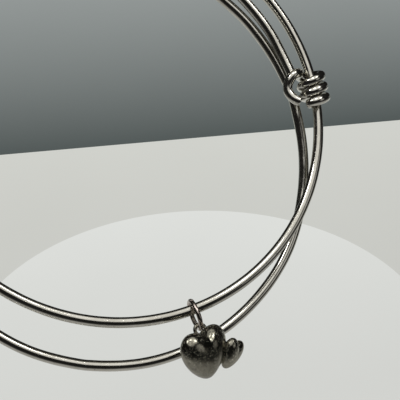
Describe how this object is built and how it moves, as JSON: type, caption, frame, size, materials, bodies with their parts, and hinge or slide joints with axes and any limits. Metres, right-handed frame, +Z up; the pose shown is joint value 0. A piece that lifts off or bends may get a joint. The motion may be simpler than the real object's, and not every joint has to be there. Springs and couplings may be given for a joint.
{
  "type": "bangle bracelet",
  "caption": "Expandable wire bangle with sliding wrapped knots and a jump ring that carries a puffed double heart charm.",
  "frame": {"origin": "centre of the front turn, which is the middle of the wrist opening", "axes": "the bangle stands upright: +Y is the bangle's axis, from front to rear, +Z is up, opposite the hanging charm, and +X is towards the right knot"},
  "size_m": [0.0675, 0.0086, 0.073],
  "materials": {
    "wire": "polished round wire with fine lengthwise drawing lines and small scratches",
    "ring": "polished, slightly warm grey",
    "charm": "polished dark antique silver with fine scratches"
  },
  "bodies": {
    "wire": {"front_turn": "wire", "rear_turn": "wire"},
    "right_knot": {"right_tail": "wire", "right_wrap": "wire"},
    "left_knot": {"left_tail": "wire", "left_wrap": "wire"},
    "jump_ring": {"jump_ring": "ring"},
    "charm": {"charm_eyelet": "charm", "large_heart": "charm", "small_heart": "charm"}
  },
  "joints": [
    {"name": "right_knot_slide", "type": "hinge", "parent": "wire", "child": "right_knot", "pos_m": [0, 0, 0], "axis": [0, -1, 0], "range_deg": [-2.4, 2.4]},
    {"name": "left_knot_slide", "type": "hinge", "parent": "wire", "child": "left_knot", "pos_m": [0, 0, 0], "axis": [0, -1, 0], "range_deg": [-2.4, 2.4]},
    {"name": "ring_slide", "type": "hinge", "parent": "wire", "child": "jump_ring", "pos_m": [0, 0, 0], "axis": [0, -1, 0], "range_deg": [-78, 25]},
    {"name": "charm_swing", "type": "hinge", "parent": "jump_ring", "child": "charm", "pos_m": [0.01088, 0, -0.03348], "axis": [0, -1, 0], "range_deg": [-30, 30]}
  ],
  "couplings": [
    {"joint": "left_knot_slide", "follows": "right_knot_slide", "ratio": -1}
  ]
}
